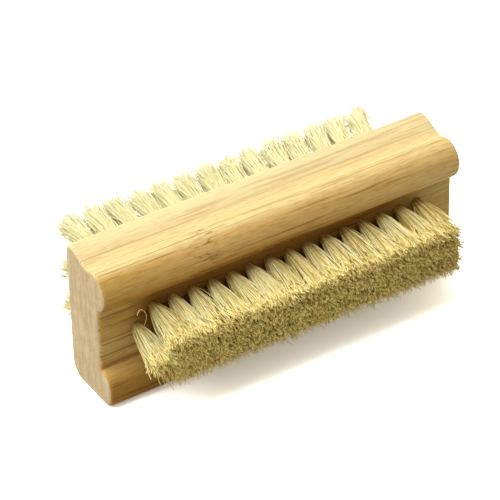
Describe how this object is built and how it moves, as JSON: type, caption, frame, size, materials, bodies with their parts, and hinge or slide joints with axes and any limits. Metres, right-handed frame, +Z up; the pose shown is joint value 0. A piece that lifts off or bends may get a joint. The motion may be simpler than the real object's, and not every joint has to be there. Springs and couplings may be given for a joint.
{
  "type": "nail brush",
  "caption": "Two-sided bamboo nail brush: a laminated block with a finger lip, a rounded nose and plant-fibre tufts on both faces.",
  "frame": {"origin": "on the surface that the block's flat base rests on, in the middle of its length and midway between the tips of the front and back bristles", "axes": "+X along the block, -Y out of the front face (the face between the lower lip and the nose), +Z up from the base to the crest"},
  "size_m": [0.095, 0.0452, 0.036],
  "materials": {
    "bamboo": "sanded and lightly oiled bamboo, satin",
    "plant_fibre": "dry pale plant fibre, matt",
    "anchor_wire": "flat zinc-coated wire, dull"
  },
  "bodies": {
    "root": {"back_layer": "bamboo", "middle_layer": "bamboo", "front_layer": "bamboo", "front_tufts_row_1": "plant_fibre", "front_tufts_row_2": "plant_fibre", "front_tufts_row_3": "plant_fibre", "back_tufts_row_1": "plant_fibre", "back_tufts_row_2": "plant_fibre", "back_tufts_row_3": "plant_fibre", "back_tufts_row_4": "plant_fibre", "back_tufts_row_5": "plant_fibre", "front_anchors": "anchor_wire", "back_anchors": "anchor_wire"}
  },
  "joints": []
}
